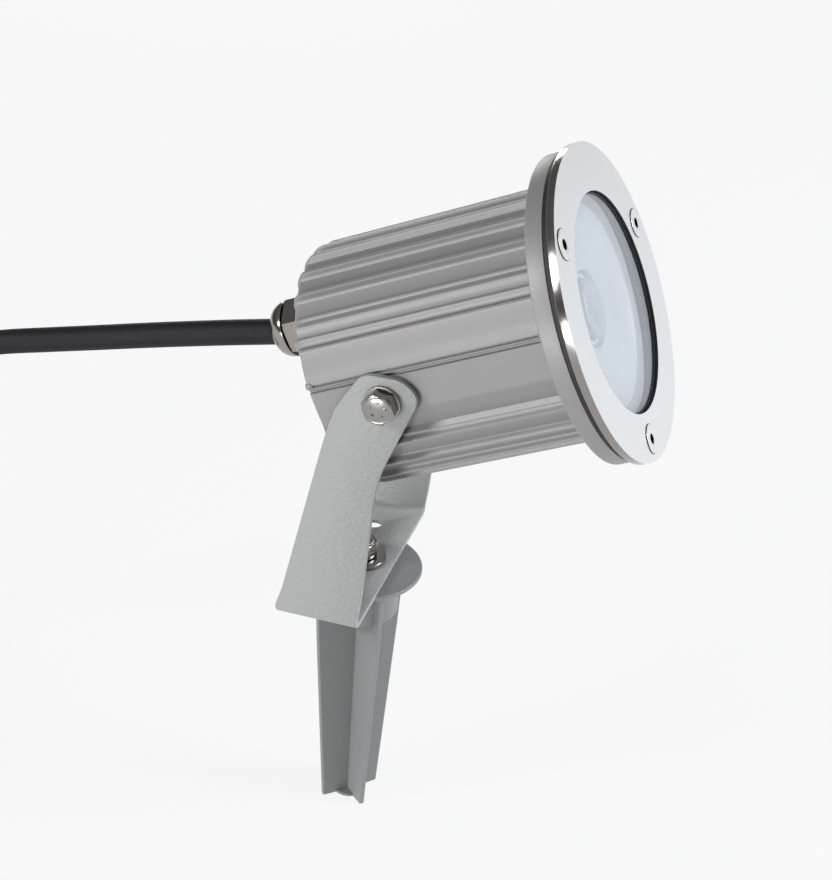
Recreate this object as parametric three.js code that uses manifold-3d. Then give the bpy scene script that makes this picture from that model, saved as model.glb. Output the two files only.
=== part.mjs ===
// Garden spot light on a ground spike: finned lamp head, U bracket, spike, rubber cable with plug.
// Millimetres, +Z up. Origin: on the spike's axis at ground level; the spike's point is below it.
// The lamp's front faces +X and up.
import * as THREE from 'three';
import { mergeVertices } from 'three/addons/utils/BufferGeometryUtils.js';
import Module from 'manifold-3d';

const wasm = await Module();
wasm.setup();

// ---------- driving dimensions ----------
const GAP = 0.3;                       // clearance between neighbouring pieces
const TILT = 24.8;                     // head axis above the horizontal at rest, degrees
const PIVOT = [16.7, 0, 195.5];        // tilt axis, along Y

const SPIKE = { disc: 22.3, discTop: 104.3, discT: 1.8, hub: 14.4, hubLow: 85.6, blade: 2.6,
  topR: 17.8, groundR: 11.4, lowR: 3.9, lowZ: -110, tipR: 0.9, tipZ: -122, webR: 6.5, webT: 1.6 };
const BOLT = { r: 3, hole: 3.3, flats: 10, head: 4 };      // M6
const SHEET = { t: 2.2, outer: 41.6, bend: 4, z: 104.6 };  // bracket sheet
const BASE_X = [-17.9, 11.9];          // bracket base, front to back
const SIDE_HOLE = { x: -3, y: 24, r: 3.2 };

const BODY = { rear: -28, flange: 60.5, front: 66.2, core: 39.2, fin: 42, panel: 39.9, valley: 39.6,
  flangeR: 50.7, cavity: 34.6, cavityRear: -22, seat: 64.6, seatR: 41.2, round: 7 };
const PAD = { y: 38.6, low: -5.6, high: 8.9 };             // flat that the bracket bears on
const FIN = { topFirst: 31.5, topPitch: 13, topCount: 10, lowFirst: 23.5, lowPitch: 13.3,
  lowCount: 11, half: 1.35, foot: 2.1 };                   // angles above and below the pad, degrees
const RING = { back: 68.1, front: 70.8, r: 52.5, hole: 36.5, rebate: 41.2, step: 69.3 };
const RING_BOLT = { r: 45.3, first: -17, head: 5, neck: 2.5, socket: 1.75, deep: 9 };   // M5 countersunk
const GLASS = { r: 40.6, back: 64.9, front: 68.8 };
const LENS = { r: 9.8, back: 52.7, front: 63 };
const PLATE = { r: 34.2, back: 46, front: 49 };
const GLAND = { u: 17.3, bore: 4.85, collar: [-41.4, -28.6], neck: -43.8, cap: [-47.3, -41.7], flats: 18 };
const CORD = { r: 4.5, sides: 10 };
const COIL = { x: -228, y: -10, inner: 31.3, outer: 58.7, low: 1.1, top: 19.2 };

// ---------- solids ----------
function toSolid(geometry) {
  const g = geometry.clone();
  g.deleteAttribute('normal');
  g.deleteAttribute('uv');
  const m = mergeVertices(g, 1e-4);
  return new wasm.Manifold(new wasm.Mesh({ numProp: 3,
    vertProperties: new Float32Array(m.attributes.position.array),
    triVerts: new Uint32Array(m.index.array) }));
}

function toGeometry(solid) {
  const mesh = solid.getMesh();
  const g = new THREE.BufferGeometry();
  g.setAttribute('position', new THREE.BufferAttribute(new Float32Array(mesh.vertProperties), 3));
  g.setIndex(new THREE.BufferAttribute(new Uint32Array(mesh.triVerts), 1));
  return g;
}

const cut = (a, ...tools) => tools.reduce((s, t) => s.subtract(t), a);
const join = (a, ...more) => more.reduce((s, t) => s.add(t), a);
const rad = THREE.MathUtils.degToRad;

// A frame whose local x, y and z are the given world axes.
const basis = (x, y, z) => new THREE.Matrix4().makeBasis(
  new THREE.Vector3(...x), new THREE.Vector3(...y), new THREE.Vector3(...z));
const ALONG_X = basis([0, 1, 0], [0, 0, 1], [1, 0, 0]);    // shape in the YZ plane, pushed along X
const ALONG_Y = basis([1, 0, 0], [0, 0, 1], [0, -1, 0]);   // shape in the XZ plane, pushed along -Y
const LATHE_X = basis([0, 1, 0], [1, 0, 0], [0, 0, -1]);   // lathe height along X
const LATHE_Y = new THREE.Matrix4();                       // lathe height along Y
const LATHE_Z = basis([1, 0, 0], [0, 0, 1], [0, -1, 0]);   // lathe height along Z

function extrude(shape, depth, frame, offset = [0, 0, 0], curveSegments = 6) {
  const g = new THREE.ExtrudeGeometry(shape, { depth, bevelEnabled: false, curveSegments });
  if (frame) g.applyMatrix4(frame);
  return toSolid(g.translate(...offset));
}

// Closed profile of [radius, height] points, in either order, turned about the frame's lathe axis.
function turn(profile, frame, segments = 32, offset = [0, 0, 0]) {
  const points = profile.map((p) => new THREE.Vector2(...p));
  if (THREE.ShapeUtils.area(points) < 0) points.reverse();
  if (profile.every((p) => p[0] > 0)) points.push(points[0].clone());
  const g = new THREE.LatheGeometry(points, segments).applyMatrix4(frame);
  return toSolid(g.translate(...offset));
}

const rod = (r, a, b, frame, segments, offset) =>
  turn([[0, a], [r, a], [r, b], [0, b]], frame, segments, offset);
const tube = (r0, r1, a, b, frame, segments, offset) =>
  turn([[r0, a], [r1, a], [r1, b], [r0, b]], frame, segments, offset);

function box(x, y, z) {
  const g = new THREE.BoxGeometry(x[1] - x[0], y[1] - y[0], z[1] - z[0]);
  return toSolid(g.translate((x[0] + x[1]) / 2, (y[0] + y[1]) / 2, (z[0] + z[1]) / 2));
}

function polygon(points) {
  const s = new THREE.Shape();
  points.forEach((p, i) => (i ? s.lineTo(...p) : s.moveTo(...p)));
  s.closePath();
  return s;
}

// Polygon with each corner rounded by its own radius: [x, y, radius].
function rounded(corners) {
  const s = new THREE.Shape();
  corners.forEach(([x, y, r], i) => {
    const c = new THREE.Vector2(x, y);
    const before = corners[(i + corners.length - 1) % corners.length];
    const after = corners[(i + 1) % corners.length];
    const from = new THREE.Vector2(before[0], before[1]).sub(c).setLength(r).add(c);
    const to = new THREE.Vector2(after[0], after[1]).sub(c).setLength(r).add(c);
    if (i) s.lineTo(from.x, from.y); else s.moveTo(from.x, from.y);
    if (r > 0) s.quadraticCurveTo(x, y, to.x, to.y);
  });
  s.closePath();
  return s;
}

function hexagon(flats) {
  const r = flats / Math.sqrt(3);
  return polygon([...Array(6).keys()].map((i) =>
    [r * Math.cos(rad(60 * i + 30)), r * Math.sin(rad(60 * i + 30))]));
}

// ---------- materials and scene graph ----------
const finish = (color, roughness, metalness) =>
  new THREE.MeshStandardMaterial({ color, roughness, metalness });
const CAST = finish(0xa3a2a0, 0.45, 0.6);
const PAINT = finish(0xa6a7a6, 0.6, 0.2);
const STEEL = finish(0xcfd0d0, 0.22, 1);
const NICKEL = finish(0x98907f, 0.18, 1);
const RUBBER = finish(0x2b282b, 0.75, 0);
const CLEAR = finish(0xc8cfd7, 0.08, 0);
const WHITE = finish(0xe9ebec, 0.5, 0);
const BOARD = finish(0x3f6b4a, 0.6, 0);
const ALU = finish(0xbfc1c3, 0.4, 1);
const BRASS = finish(0xb39a5c, 0.35, 1);
const AMBER = finish(0xe8cf6a, 0.5, 0);

const stake = new THREE.Group();
const head = new THREE.Group();
head.position.set(...PIVOT);
head.rotation.y = -rad(TILT);
stake.add(head);

function place(parent, name, solid, material) {
  const mesh = new THREE.Mesh(toGeometry(solid), material);
  mesh.name = name;
  parent.add(mesh);
}

// ---------- spike, on the Z axis ----------
function spike() {
  const z0 = SPIKE.discTop - SPIKE.discT;
  const disc = rod(SPIKE.disc, z0, SPIKE.discTop, LATHE_Z, 48);
  const hub = turn([[0, SPIKE.hubLow], [SPIKE.hub - 0.4, SPIKE.hubLow], [SPIKE.hub, z0 - 1.5],
    [SPIKE.hub + 1.2, z0 + 0.2], [0, z0 + 0.2]], LATHE_Z, 36);
  const side = [[SPIKE.topR, z0 + 0.1], [SPIKE.groundR, 0], [SPIKE.lowR, SPIKE.lowZ], [SPIKE.tipR, SPIKE.tipZ]];
  const outline = polygon([...side, ...side.map(([r, z]) => [-r, z]).reverse()]);
  const blades = [45, -45].map((turnBy) =>
    extrude(outline, SPIKE.blade, ALONG_Y, [0, SPIKE.blade / 2, 0]).rotate([0, 0, turnBy]));
  const web = rod(SPIKE.webR, -SPIKE.webT / 2, SPIKE.webT / 2, LATHE_Z, 24);
  const socket = rod(5.3, 88, SPIKE.discTop + 1, LATHE_Z, 24);
  place(stake, 'spike', cut(join(disc, hub, ...blades, web), socket), PAINT);
}

function spikeFixings() {
  const plateTop = SHEET.z + SHEET.t;
  place(stake, 'spike_insert', tube(BOLT.hole, 5, 88 + GAP, SPIKE.discTop - GAP, LATHE_Z, 24), BRASS);
  const flat = plateTop + GAP;
  place(stake, 'spike_flat_washer', tube(BOLT.hole, 9, flat, flat + 1.4, LATHE_Z, 36), STEEL);
  const spring = flat + 1.4 + GAP;
  const split = box([2, 7], [-0.5, 0.5], [spring - 1, spring + 3]);
  place(stake, 'spike_spring_washer', cut(tube(BOLT.hole, 5.6, spring, spring + 1.6, LATHE_Z, 24), split), STEEL);
  const seat = spring + 1.6 + GAP;
  const shaft = rod(BOLT.r, 90, seat + 0.1, LATHE_Z, 16);
  place(stake, 'spike_bolt', join(hexHead(seat, LATHE_Z), shaft), STEEL);
}

// Hexagon head with its bearing face at height `seat`, chamfered on the far side.
function hexHead(seat, latheFrame) {
  const r = BOLT.flats / Math.sqrt(3);
  const prism = new THREE.ExtrudeGeometry(hexagon(BOLT.flats), { depth: BOLT.head, bevelEnabled: false });
  prism.applyMatrix4(basis([1, 0, 0], [0, 0, -1], [0, 1, 0])).translate(0, seat, 0).applyMatrix4(latheFrame);
  const dome = turn([[0, seat - 1], [r + 1, seat - 1], [r + 0.1, seat + BOLT.head - 0.8],
    [r - 0.9, seat + BOLT.head], [0, seat + BOLT.head]], latheFrame, 24);
  return toSolid(prism).intersect(dome);
}

// ---------- bracket ----------
// Side outline of an arm, measured from the pivot, with corner radii.
const ARM = [[BASE_X[1] - PIVOT[0], -91.4, 0], [-2.8, -65.8, 1], [-1.2, -38.8, 2], [0.3, -27.3, 5],
  [12.2, 3.6, 4.2], [6.2, 9, 3.4], [-7.4, 8.9, 4], [-16.4, -6, 5], [-19.8, -20, 4], [BASE_X[0] - PIVOT[0], -91.4, 0]];

function bracket() {
  const { t, outer, bend, z } = SHEET;
  const wall = (o, r) => [[-o, 215, 0], [-o, z + outer - o, r], [o, z + outer - o, r], [o, 215, 0]];
  const section = rounded(wall(outer, bend));
  const hollow = rounded(wall(outer - t, bend - t));
  const bent = cut(extrude(section, 60, ALONG_X, [-30, 0, 0]), extrude(hollow, 62, ALONG_X, [-31, 0, 0.001]));
  const outline = extrude(rounded(ARM), 2 * outer + 2, ALONG_Y, [PIVOT[0], outer + 1, PIVOT[2]]);
  const pivotHole = rod(3.5, -60, 60, LATHE_Y, 24, PIVOT);
  const swivelHole = rod(3.5, z - 5, z + 5, LATHE_Z, 24);
  const sideHoles = [-1, 1].map((s) =>
    rod(SIDE_HOLE.r, z - 5, z + 5, LATHE_Z, 20, [SIDE_HOLE.x, s * SIDE_HOLE.y, 0]));
  place(stake, 'bracket', cut(bent.intersect(outline), pivotHole, swivelHole, ...sideHoles), PAINT);
}

// ---------- lamp head: its axis is local X, the tilt axis is local Y ----------
// Section of the finned body as [y, z] points, going round once; angle 0 is local -Y, 90 is up.
function bodySection() {
  const at = (r, deg) => [-r * Math.cos(rad(deg)), r * Math.sin(rad(deg))];
  const side = [];
  side.push([-PAD.y, PAD.low], [-PAD.y, PAD.high]);
  const lip = THREE.MathUtils.radToDeg(Math.asin((PAD.high + 0.7) / BODY.panel));
  side.push(at(BODY.panel, lip), at(BODY.panel, 20), at(BODY.panel, 28), at(BODY.valley - 1, 29));
  for (let i = 0; i < FIN.topCount; i += 1) fin(side, FIN.topFirst + FIN.topPitch * i, 1);
  const right = [...side].slice(0, 6).map(([y, z]) => [-y, z]).reverse();
  const low = [];
  for (let i = 0; i < FIN.lowCount; i += 1) fin(low, -180 + FIN.lowFirst + FIN.lowPitch * i, 1);
  low.push(at(BODY.core, -17), at(BODY.core, -12));
  return [...side, ...right, at(BODY.core, 192), at(BODY.core, 197), ...low];

  function fin(list, deg) {
    list.push(at(BODY.valley, deg - 2 * FIN.foot), at(BODY.fin - 0.4, deg - FIN.half - 0.3),
      at(BODY.fin, deg - FIN.half * 0.6), at(BODY.fin, deg + FIN.half * 0.6),
      at(BODY.fin - 0.4, deg + FIN.half + 0.3), at(BODY.valley, deg + 2 * FIN.foot));
  }
}

function housing() {
  const section = polygon(bodySection());
  const { rear, flange, front, round, fin } = BODY;
  const ends = [];
  for (let i = 0; i <= 6; i += 1) {
    const a = rad(15 * i);
    ends.push([fin + 1 - round * (1 - Math.sin(a)), rear + round * (1 - Math.cos(a))]);
  }
  const envelope = turn([[0, rear], ...ends, [fin + 1, flange + 1], [0, flange + 1]], LATHE_X, 72);
  const body = extrude(section, flange + 1 - rear, ALONG_X, [rear, 0, 0]).intersect(envelope);
  const rim = turn([[0, flange], [BODY.flangeR - 0.6, flange], [BODY.flangeR, flange + 0.6],
    [BODY.flangeR, front - 0.4], [BODY.flangeR - 0.4, front], [0, front]], LATHE_X, 72);
  const cavity = turn([[0, BODY.cavityRear], [BODY.cavity - 2, BODY.cavityRear], [BODY.cavity, BODY.cavityRear + 2],
    [BODY.cavity, BODY.seat], [BODY.seatR, BODY.seat], [BODY.seatR, front + 1], [0, front + 1]], LATHE_X, 48);
  const bosses = [-1, 1].map((s) => rod(7, s * 26.5, s * 36, LATHE_Y, 20));
  const pivotHoles = [-1, 1].map((s) => rod(BOLT.hole, s * 28, s * 45, LATHE_Y, 16));
  const glandHole = rod(8.3, rear - 1, BODY.cavityRear + 1, LATHE_X, 24, [0, 0, GLAND.u]);
  const screwHoles = ringBoltPlaces().map(([y, z]) =>
    rod(RING_BOLT.neck + GAP, front - RING_BOLT.deep, front + 1, LATHE_X, 12, [0, y, z]));
  const hollow = cut(join(body, rim), cavity);
  place(head, 'housing', cut(join(hollow, ...bosses), ...pivotHoles, glandHole, ...screwHoles), CAST);
}

// Centres [y, z] of the three ring screws.
function ringBoltPlaces() {
  return [0, 120, 240].map((d) => {
    const a = rad(RING_BOLT.first + d);
    return [RING_BOLT.r * Math.sin(a), -RING_BOLT.r * Math.cos(a)];
  });
}

function frontEnd() {
  const { back, front, r, hole, rebate, step } = RING;
  const screws = ringBoltPlaces();
  const seats = screws.map(([y, z]) => turn([[0, back - 1], [RING_BOLT.neck + GAP, back - 1],
    [RING_BOLT.neck + GAP, front - 2.5 - GAP], [RING_BOLT.head + GAP, front - GAP],
    [RING_BOLT.head + GAP, front + 1], [0, front + 1]], LATHE_X, 24, [0, y, z]));
  const plate = turn([[hole, step], [hole, front - 0.3], [hole + 0.3, front], [r - 0.6, front], [r, front - 0.6],
    [r, back], [rebate, back], [rebate, step]], LATHE_X, 96);
  place(head, 'front_ring', cut(plate, ...seats), STEEL);

  const holes = screws.map(([y, z]) => rod(RING_BOLT.neck + 2 * GAP, 60, 75, LATHE_X, 12, [0, y, z]));
  const gasket = tube(42, BODY.flangeR - 1.1, BODY.front + GAP, back - GAP, LATHE_X, 72);
  place(head, 'housing_gasket', cut(gasket, ...holes), RUBBER);

  screws.forEach(([y, z], i) => {
    const shaft = front - 2.6;
    const bolt = turn([[0, front - 8], [RING_BOLT.neck, front - 8], [RING_BOLT.neck, shaft],
      [RING_BOLT.head, front - 0.4], [RING_BOLT.head - 0.2, front - 0.1], [0, front - 0.1]], LATHE_X, 24, [0, y, z]);
    const socket = new THREE.ExtrudeGeometry(hexagon(2 * RING_BOLT.socket), { depth: 3, bevelEnabled: false });
    socket.applyMatrix4(ALONG_X).translate(front - 2, y, z);
    place(head, `ring_screw_${i + 1}`, cut(bolt, toSolid(socket)), STEEL);
  });

  place(head, 'front_glass', rod(GLASS.r, GLASS.back, GLASS.front, LATHE_X, 64), CLEAR);
  place(head, 'glass_seal', turn([[hole - 0.6, GLASS.front + 0.15], [hole - 0.6, step + 0.4],
    [hole - 0.3, step + 0.4], [hole - 0.3, step - 0.15], [rebate - GAP, step - 0.15],
    [rebate - GAP, GLASS.front + 0.15]], LATHE_X, 64), RUBBER);
}

function optics() {
  const { r, back, front } = PLATE;
  const screwAt = [90, 210, 330].map((d) => [27 * Math.cos(rad(d)), 27 * Math.sin(rad(d))]);
  const slot = box([back - 1, front + 1], [-5, 5], [-24, -18]);
  const holes = screwAt.map(([y, z]) => rod(1.9, back - 1, front + 1, LATHE_X, 10, [0, y, z]));
  place(head, 'led_plate', cut(rod(r, back, front, LATHE_X, 40), slot, ...holes), ALU);
  screwAt.forEach(([y, z], i) => place(head, `plate_screw_${i + 1}`,
    turn([[0, back - 5], [1.6, back - 5], [1.6, front + GAP], [3, front + GAP], [3, front + 1.8],
      [0, front + 2.2]], LATHE_X, 12, [0, y, z]), STEEL));
  place(head, 'led_board', rod(12, front + GAP, front + 1.9, LATHE_X, 24), WHITE);
  place(head, 'led_chip', rod(4.5, front + 2.2, front + 3.4, LATHE_X, 20), AMBER);
  place(head, 'lens_holder', tube(LENS.r + 0.4, 12.2, front + 2.2, LENS.front - 3, LATHE_X, 32), WHITE);
  place(head, 'led_lens', turn([[0, LENS.back], [5, LENS.back], [LENS.r, LENS.front - 2.5], [LENS.r, LENS.front],
    [LENS.r - 1.2, LENS.front + 0.2], [0, LENS.front - 0.4]], LATHE_X, 32), CLEAR);
  place(head, 'reflector', turn([[12.8, 54], [13.8, 54], [33.9, 63], [34.2, 64.3], [33.2, 64.3], [12.8, 55.2]],
    LATHE_X, 48), WHITE);
}

function driver() {
  place(head, 'driver_board', box([-12, 34], [-13, 13], [-14, -12.4]), BOARD);
  place(head, 'driver_transformer', box([8, 24], [-9, 8], [-12.1, 3]), AMBER);
  place(head, 'driver_capacitor', rod(5, -12.1, 1, LATHE_Z, 16, [0, 6, 0]), RUBBER);
  place(head, 'driver_terminal', box([-8, 4], [-11, -2], [-12.1, -4]), WHITE);
  place(head, 'driver_carrier', box([-12, 36], [-12, 12], [-17, -14.3]), WHITE);
  [-1, 1].forEach((s, i) => {
    const path = new THREE.CatmullRomCurve3([[28, s * 3, -11.2], [35, s * 3.5, -10.8], [41, s * 3, -16],
      [45, s * 2.5, -20.5], [50.4, s * 2.2, -21]].map((p) => new THREE.Vector3(...p)));
    const section = new THREE.Shape().absarc(0, 0, 0.7, 0, 2 * Math.PI);
    const wire = new THREE.ExtrudeGeometry(section, { steps: 12, extrudePath: path, curveSegments: 4 });
    place(head, `led_wire_${i + 1}`, toSolid(wire), i ? RUBBER : BRASS);
  });
}

function gland() {
  const at = [0, 0, GLAND.u];
  const { bore, collar, neck, cap, flats } = GLAND;
  const hexBar = (size, a, b) => extrude(hexagon(size), b - a, ALONG_X, [a, ...at.slice(1)]);
  const hole = rod(bore, -80, 20, LATHE_X, 20, at);
  const body = join(hexBar(flats, ...collar), rod(7, neck, collar[0] + 0.1, LATHE_X, 24, at),
    rod(8, collar[1] - 0.1, -14, LATHE_X, 24, at));
  place(head, 'gland_body', cut(body, hole), NICKEL);
  place(head, 'gland_o_ring', tube(8.6, 10, BODY.rear - 0.35, BODY.rear - 0.02, LATHE_X, 24, at), RUBBER);
  place(head, 'gland_locknut', cut(hexBar(20, -21.7, -18), rod(8.3, -30, -10, LATHE_X, 24, at)), NICKEL);
  const shell = turn([[0, cap[0]], [6.2, cap[0]], [8.7, cap[0] + 1.6], [9.8, cap[0] + 4], [9.8, cap[1]],
    [0, cap[1]]], LATHE_X, 32, at);
  const recess = rod(7.3, cap[0] + 1.2, cap[1] + 1, LATHE_X, 24, at);
  place(head, 'gland_nut', cut(shell, hole, recess), NICKEL);
  place(head, 'gland_seal', tube(bore + 0.05, 7, cap[0] + 1.5, neck - GAP, LATHE_X, 24, at), RUBBER);
  place(head, 'cable_tail', rod(CORD.r, cap[0] + 3 * GAP, -10, LATHE_X, 16, at), RUBBER);
}

function pivotFixings() {
  [['near', -1], ['far', 1]].forEach(([side, s]) => {
    const out = (name, solid, material) =>
      place(head, name, s > 0 ? solid : solid.mirror([0, 1, 0]), material);
    out(`pivot_friction_washer_${side}`, tube(3.6, 7.5, PAD.y + GAP, PAD.y + 0.7, LATHE_Y, 28), WHITE);
    out(`pivot_washer_${side}`, tube(BOLT.hole, 6.2, SHEET.outer + GAP, SHEET.outer + 1.4, LATHE_Y, 32), STEEL);
    const seat = SHEET.outer + 1.4 + GAP;
    out(`pivot_bolt_${side}`, join(hexHead(seat, LATHE_Y), rod(BOLT.r, 29, seat + 0.1, LATHE_Y, 16)), STEEL);
  });
}

// ---------- cable ----------
// Local head coordinates to object coordinates, in the plane of the head's axis.
function fromHead(s, u) {
  const c = Math.cos(rad(TILT));
  const n = Math.sin(rad(TILT));
  return [PIVOT[0] + s * c - u * n, 0, PIVOT[2] + s * n + u * c];
}

const CABLE_EXIT = fromHead(GLAND.cap[0] - GAP, GLAND.u);
const CABLE_ROUTE = [CABLE_EXIT, [-40.5, 0, 189.7], [-48.1, 0, 188], [-63, 0, 184.5], [-82, 0, 179.9],
  [-101, 0, 175.1], [-121, 0, 170.1], [-140, 0, 165.2], [-160, 0.8, 158.2], [-171.5, 2.8, 149.3],
  [-180.3, 6.2, 137.8], [-185.8, 10.6, 124.6], [-187.7, 15.6, 110.3], [-188, 21.5, 92], [-188, 27.2, 74],
  [-188, 32.4, 58], [-188.2, 36.4, 45.6], [-189.8, 39.4, 35.2], [-193.2, 41.4, 26.6]];

function cable() {
  const points = CABLE_ROUTE.map((p) => new THREE.Vector3(...p));
  const path = new THREE.CatmullRomCurve3(points, false, 'centripetal');
  const section = new THREE.Shape();
  for (let i = 0; i < CORD.sides; i += 1) {
    const a = (2 * Math.PI * i) / CORD.sides;
    if (i) section.lineTo(CORD.r * Math.cos(a), CORD.r * Math.sin(a));
    else section.moveTo(CORD.r, 0);
  }
  section.closePath();
  const run = new THREE.ExtrudeGeometry(section, { steps: 20, extrudePath: path });
  place(stake, 'cable_run', toSolid(run), RUBBER);

  const { inner, outer, low, top } = COIL;
  place(stake, 'cable_coil', turn([[inner, low + 2], [inner + 2, low], [outer - 2, low], [outer, low + 2],
    [outer, top - 2], [outer - 2, top], [inner + 2, top], [inner, top - 2]], LATHE_Z, 40, [COIL.x, COIL.y, 0]), RUBBER);

  const span = [COIL.x + inner - 2 * GAP, COIL.x + outer + GAP];
  const strap = box([span[0] - 0.8, span[1] + 0.8], [COIL.y - 4, COIL.y + 4], [0, top + GAP + 0.8]);
  const hollow = box(span, [COIL.y - 5, COIL.y + 5], [0.8, top + GAP]);
  place(stake, 'coil_tie', cut(strap, hollow), RUBBER);
}

// Mains plug lying beside the coil. Its own axis is -Y, turned about Z.
const PLUG = { at: [-311.4, -17.1, 17], turn: -45 };

function plug() {
  const lying = new THREE.Group();
  lying.position.set(...PLUG.at);
  lying.rotation.z = rad(PLUG.turn);
  stake.add(lying);
  place(lying, 'plug_body', turn([[0, -34], [16, -34], [17, -33], [17, -14], [11, -3], [8, 0], [0, 0]],
    LATHE_Y, 28), RUBBER);
  place(lying, 'plug_relief', turn([[0, GAP], [7, GAP], [5.1, 24], [0, 24]], LATHE_Y, 20), RUBBER);
  [-1, 1].forEach((s, i) => place(lying, `plug_pin_${i + 1}`,
    rod(2.4, -53, -34 - GAP, LATHE_Y, 14, [9.5 * s, 0, 0]), NICKEL));
  place(lying, 'cable_end', rod(CORD.r, 24 + GAP, 31.4, LATHE_Y, 10), RUBBER);
}

spike();
spikeFixings();
bracket();
housing();
frontEnd();
optics();
driver();
gland();
pivotFixings();
cable();
plug();

export default stake;
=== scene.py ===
import math

import bmesh
import bpy
from mathutils import Matrix, Vector

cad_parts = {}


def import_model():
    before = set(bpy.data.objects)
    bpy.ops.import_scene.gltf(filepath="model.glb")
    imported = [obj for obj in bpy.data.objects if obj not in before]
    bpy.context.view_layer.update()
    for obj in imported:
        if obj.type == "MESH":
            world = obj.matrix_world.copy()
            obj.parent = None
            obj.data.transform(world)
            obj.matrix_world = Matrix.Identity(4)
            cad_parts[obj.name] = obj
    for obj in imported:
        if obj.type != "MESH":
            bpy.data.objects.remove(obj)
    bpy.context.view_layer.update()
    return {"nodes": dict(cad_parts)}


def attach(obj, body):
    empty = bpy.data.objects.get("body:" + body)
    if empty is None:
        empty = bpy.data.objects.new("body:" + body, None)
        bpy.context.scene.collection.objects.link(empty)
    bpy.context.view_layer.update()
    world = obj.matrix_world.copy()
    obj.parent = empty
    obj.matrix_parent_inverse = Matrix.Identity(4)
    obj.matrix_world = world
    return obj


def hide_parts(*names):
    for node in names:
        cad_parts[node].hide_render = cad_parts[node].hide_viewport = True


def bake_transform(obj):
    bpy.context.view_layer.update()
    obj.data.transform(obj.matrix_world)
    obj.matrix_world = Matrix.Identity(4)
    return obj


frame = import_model()

MM = 0.001
TILT_DEGREES = 24.8
PIVOT = Vector((16.7, 0.0, 195.5))
HEAD = Matrix.Translation(PIVOT) @ Matrix.Rotation(-math.radians(TILT_DEGREES), 4, "Y")
WORLD = Matrix.Identity(4)
# Lathe and extrusion axes: local z goes along the named axis.
TO_X = Matrix(((0, 0, 1, 0), (1, 0, 0, 0), (0, 1, 0, 0), (0, 0, 0, 1)))
TO_Y = Matrix(((0, 1, 0, 0), (0, 0, 1, 0), (1, 0, 0, 0), (0, 0, 0, 1)))
TO_Z = Matrix.Identity(4)

# Driving dimensions. Heights of the spike and bracket count from the ground, places along the head
# forward from its pivot.
DISC = {"r": 22.3, "low": 102.5, "high": 104.3}
HUB = {"r": 14.5, "low": 85.6}
SHEET = {"t": 2.1, "outer": 41.6, "low": 104.6, "bend": 4.0}
BASE_HOLE = {"r": 3.2, "x": -3.0, "y": 24.0}
BODY = {"rear": -28.0, "front": 60.9, "corner": 7.5, "limit": 43.0}
RIB_R, VALLEY_R, PAD_Y, PANEL_R = 42.0, 39.5, 38.6, 39.95
FLANGE = {"r": 51.0, "back": 60.4, "face": 66.2, "seat": 41.2}
RING = {"r": 52.5, "bore": 36.5, "back": 68.1, "face": 70.8, "screws": 45.3}
PANE = {"r": 40.6, "back": 64.9, "front": 68.8}
GLAND_U = 17.3


def rad(d):
    return d * math.pi / 180.0


# ---------- camera ----------
def make_camera():
    azimuth, elevation, roll = rad(14.98), rad(29.94), rad(4.0)
    target = Vector((17.33, 0.0, 159.79)) * MM
    distance = 640.0
    back = Vector((math.sin(azimuth) * math.cos(elevation), -math.cos(azimuth) * math.cos(elevation),
                   math.sin(elevation)))
    level = Vector((0, 0, 1)).cross(back).normalized()
    upright = back.cross(level)
    right = math.cos(roll) * level + math.sin(roll) * upright
    up = -math.sin(roll) * level + math.cos(roll) * upright
    data = bpy.data.cameras.new("camera")
    data.sensor_width = 36.0
    data.lens = 75.89
    data.clip_start, data.clip_end = 0.05, 20.0
    cam = bpy.data.objects.new("camera", data)
    bpy.context.scene.collection.objects.link(cam)
    cam.matrix_world = Matrix((
        (right.x, up.x, back.x, 0), (right.y, up.y, back.y, 0), (right.z, up.z, back.z, 0), (0, 0, 0, 1)))
    cam.location = target + back * distance * MM
    bpy.context.scene.camera = cam


make_camera()


# ---------- mesh helpers ----------
def build(name, shape, material, body, replaces=(), at=WORLD, sharp=32, bevel=0.0):
    """A mesh object from (verts, faces) in millimetres, placed by at, riding on body."""
    verts, faces = shape
    mesh = bpy.data.meshes.new(name)
    mesh.from_pydata([(at @ Vector(v)) * MM for v in verts], [], faces)
    bm = bmesh.new()
    bm.from_mesh(mesh)
    bmesh.ops.remove_doubles(bm, verts=bm.verts, dist=1e-7)
    bmesh.ops.recalc_face_normals(bm, faces=bm.faces)
    if bevel:
        edges = [e for e in bm.edges if len(e.link_faces) == 2 and e.calc_face_angle() > rad(sharp)]
        bmesh.ops.bevel(bm, geom=edges, offset=bevel * MM, segments=2, profile=0.6, affect="EDGES",
                        clamp_overlap=True)
    bm.to_mesh(mesh)
    bm.free()
    mesh.shade_smooth()
    mesh.set_sharp_from_angle(angle=rad(sharp))
    obj = bpy.data.objects.new(name, mesh)
    bpy.context.scene.collection.objects.link(obj)
    mesh.materials.append(material)
    if replaces:
        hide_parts(*replaces)
    if body:
        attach(obj, body)
    return obj


def soften(points, radii, steps=4, closed=False):
    """Rounds the corners of a polyline. radii is one radius, or one for each point."""
    n = len(points)
    if not hasattr(radii, "__len__"):
        radii = [radii] * n
    out = []
    for i, p in enumerate(points):
        p = Vector(p)
        ends = not closed and i in (0, n - 1)
        if ends or radii[i] <= 0:
            out.append(tuple(p))
            continue
        a, b = Vector(points[i - 1]) - p, Vector(points[(i + 1) % n]) - p
        r = min(radii[i], a.length * 0.48, b.length * 0.48)
        a, b = p + a.normalized() * r, p + b.normalized() * r
        for k in range(steps + 1):
            t = k / steps
            out.append(tuple(a * (1 - t) ** 2 + p * 2 * t * (1 - t) + b * t * t))
    return out


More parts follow.
